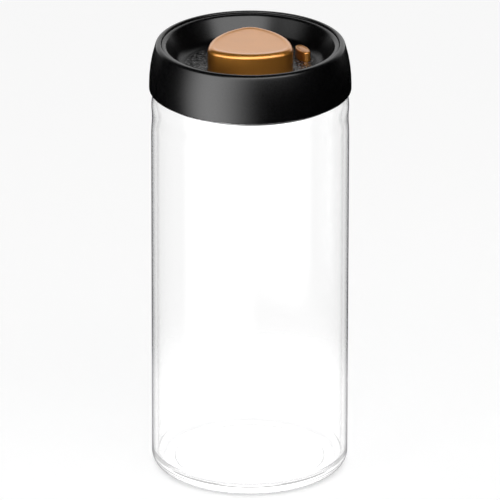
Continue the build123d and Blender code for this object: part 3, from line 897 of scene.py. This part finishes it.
def oval_outline(name, grow, height):
    """The vent button's outline as a closed chain: two end arcs and two side arcs."""
    reach, half = vent_length / 2 - vent_end_rounding, vent_width / 2
    side_radius = (reach**2 + half**2 - vent_end_rounding**2) / (2 * (half - vent_end_rounding))
    middle = Vector((vent_centre.x, vent_centre.y, height))
    along, across = heading(vent_turn, 1), heading(vent_turn + pi / 2, 1)
    toward = (along * reach - across * (side_radius - half)).normalized()
    half_end = atan2(-toward.dot(across), toward.dot(along))
    piece = start_point(name, middle + along * reach + toward * (vent_end_rounding + grow))
    for side in (1, -1):
        arc_to(middle + along * reach * side, 2 * half_end, (0, 0, 1))
        arc_to(middle - across * (side_radius - half) * side, pi - 2 * half_end, (0, 0, 1))
    bpy.ops.mesh.select_all(action="SELECT")
    bpy.ops.mesh.remove_doubles(threshold=join_distance)
    return piece


print("vent button stands at", [round(place / mm, 2) for place in vent_centre.xy], "mm")

# %% Pick faces by height and direction
face_tolerance = 0.01 * mm
level_enough = 0.999


def pick_level_face(piece, height, up):
    """In edit mode, select only the level faces at a height that look up or down."""
    bpy.ops.mesh.select_mode(type="FACE")
    bpy.ops.mesh.select_all(action="DESELECT")
    mesh = bmesh.from_edit_mesh(piece.data)
    mesh.normal_update()
    for face in mesh.faces:
        level = abs(face.calc_center_median().z - height) < face_tolerance
        if level and (face.normal.z > level_enough if up else face.normal.z < -level_enough):
            face.select_set(True)
    bmesh.update_edit_mesh(piece.data)


def raise_face(distance):
    """Extrude the selected face straight up by a distance, or down by a negative one."""
    bpy.ops.mesh.extrude_region_move(TRANSFORM_OT_translate={"value": (0, 0, distance)})


print("a face counts as level above", level_enough, "and as placed within", face_tolerance / mm, "mm")

# %% Make both buttons from their outlines
flange_height = 1.2 * mm


def hollow_cap(name, outline, flange, low, high, wall, roof, edge, edge_steps, dish_steps):
    """A cap with a flange at its foot, a hollow underneath, a rounded edge and a dished top."""
    piece = outline(name, flange, low)
    bpy.ops.mesh.edge_face_add()
    raise_face(flange_height)
    bpy.ops.mesh.select_all(action="SELECT")
    bpy.ops.mesh.normals_make_consistent(inside=False)
    pick_level_face(piece, low + flange_height, True)
    bpy.ops.mesh.inset(thickness=flange)
    raise_face(high - low - flange_height)
    pick_level_face(piece, high, True)
    bpy.ops.mesh.bevel(offset=edge, segments=edge_steps, affect="EDGES")
    pick_level_face(piece, high, True)
    for inward, down in dish_steps:
        bpy.ops.mesh.inset(thickness=inward, depth=-down)
    pick_level_face(piece, low, False)
    bpy.ops.mesh.inset(thickness=flange + wall)
    raise_face(high - roof - low)
    bpy.ops.mesh.select_all(action="SELECT")
    bpy.ops.mesh.normals_make_consistent(inside=False)
    bpy.ops.object.mode_set(mode="OBJECT")
    print(name, "has", len(piece.data.polygons), "faces")
    return piece


button_dish_steps = [
    (0.35 * mm, 0.0),
    (0.25 * mm, 0.03 * mm),
    (0.30 * mm, 0.08 * mm),
    (0.40 * mm, 0.10 * mm),
    (0.60 * mm, 0.08 * mm),
    (1.20 * mm, 0.04 * mm),
    (4.00 * mm, 0.03 * mm),
]
pump_cap = hollow_cap(
    "pump_cap", triangle_outline, button_flange, button_low.z, button_high.z, wall=1.6 * mm,
    roof=2.0 * mm, edge=2.5 * mm, edge_steps=12, dish_steps=button_dish_steps,
)
finish_piece(pump_cap, "bronze_finish", "pump", ["pump_button"])

vent_dish_steps = [
    (0.12 * mm, 0.0),
    (0.15 * mm, 0.05 * mm),
    (0.20 * mm, 0.14 * mm),
    (0.20 * mm, 0.11 * mm),
    (0.25 * mm, 0.05 * mm),
]
vent_cap = hollow_cap(
    "vent_cap", oval_outline, vent_flange, vent_low.z, vent_high.z, wall=1.1 * mm,
    roof=1.6 * mm, edge=0.8 * mm, edge_steps=8, dish_steps=vent_dish_steps,
)
finish_piece(vent_cap, "bronze_finish", "vent", ["vent_button"])

# %% [markdown]
# The dish still has a closed floor. Two cutters with the buttons' own outlines, grown by the
# running gap, are taken away from it with Boolean modifiers, so that each opening follows
# its button exactly.

# %% Cut the openings in the dish
run_fit = 0.3 * mm
overrun = 1.0 * mm


def cut(piece, cutter):
    """Take a cutter away from a piece and delete the cutter."""
    take_alone(piece)
    modifier = piece.modifiers.new("opening", "BOOLEAN")
    modifier.operation = "DIFFERENCE"
    modifier.solver = "EXACT"
    modifier.object = cutter
    bpy.ops.object.modifier_apply(modifier=modifier.name)
    bpy.data.objects.remove(cutter, do_unlink=True)


def opening_cutter(name, outline):
    """A prism through the dish's floor with a button's outline and its running gap."""
    cutter = outline(name, run_fit, dish_under - overrun)
    bpy.ops.mesh.edge_face_add()
    raise_face(dish_floor + 2 * overrun)
    bpy.ops.mesh.select_all(action="SELECT")
    bpy.ops.mesh.normals_make_consistent(inside=False)
    bpy.ops.object.mode_set(mode="OBJECT")
    return cutter


cut(dish, opening_cutter("pump_cutter", triangle_outline))
cut(dish, opening_cutter("vent_cutter", oval_outline))
finish_piece(dish, "black_plastic", "lid", ["lid_dish"])
print("the dish has", len(dish.data.polygons), "faces")

# %% [markdown]
# ## Everything inside
#
# The pump, its valves, springs and screws already have their true shape in the engineering
# model. There each triangle stands alone, so round walls would look faceted. A copy of each
# piece is merged into one skin, which shades smoothly between its crisp edges, and dressed.
# The two springs are left on no body, with their place baked into their mesh.

# %% Merge and dress the inner pieces
remodelled = {"glass_jar", "outer_ring", "lid_dish", "pump_button", "vent_button"}
bodies = frame["record"]["behaviour"]["bodies"]
rides_on = {name: body for body, members in bodies.items() for name in members}
pressers = {"pump_spring": "pump", "vent_spring": "vent"}


def merged_copy(name):
    """One skin made from the loose triangles of a node."""
    take_alone(nodes[name])
    bpy.ops.object.duplicate()
    piece = bpy.context.active_object
    piece.name = name + "_skin"
    piece.data.name = piece.name
    del piece["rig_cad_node"]
    bpy.ops.mesh.customdata_custom_splitnormals_clear()
    bpy.ops.object.mode_set(mode="EDIT")
    bpy.ops.mesh.select_all(action="SELECT")
    bpy.ops.mesh.remove_doubles(threshold=join_distance)
    bpy.ops.object.mode_set(mode="OBJECT")
    return piece


for part in frame["record"]["subparts"]:
    name, slot = part["node"], part["material_slot"]
    if name not in remodelled:
        skin = merged_copy(name)
        finish_piece(skin, slot, rides_on[name], [name], pressers.get(name))
        print(skin.name, "has", len(skin.data.polygons), "faces")
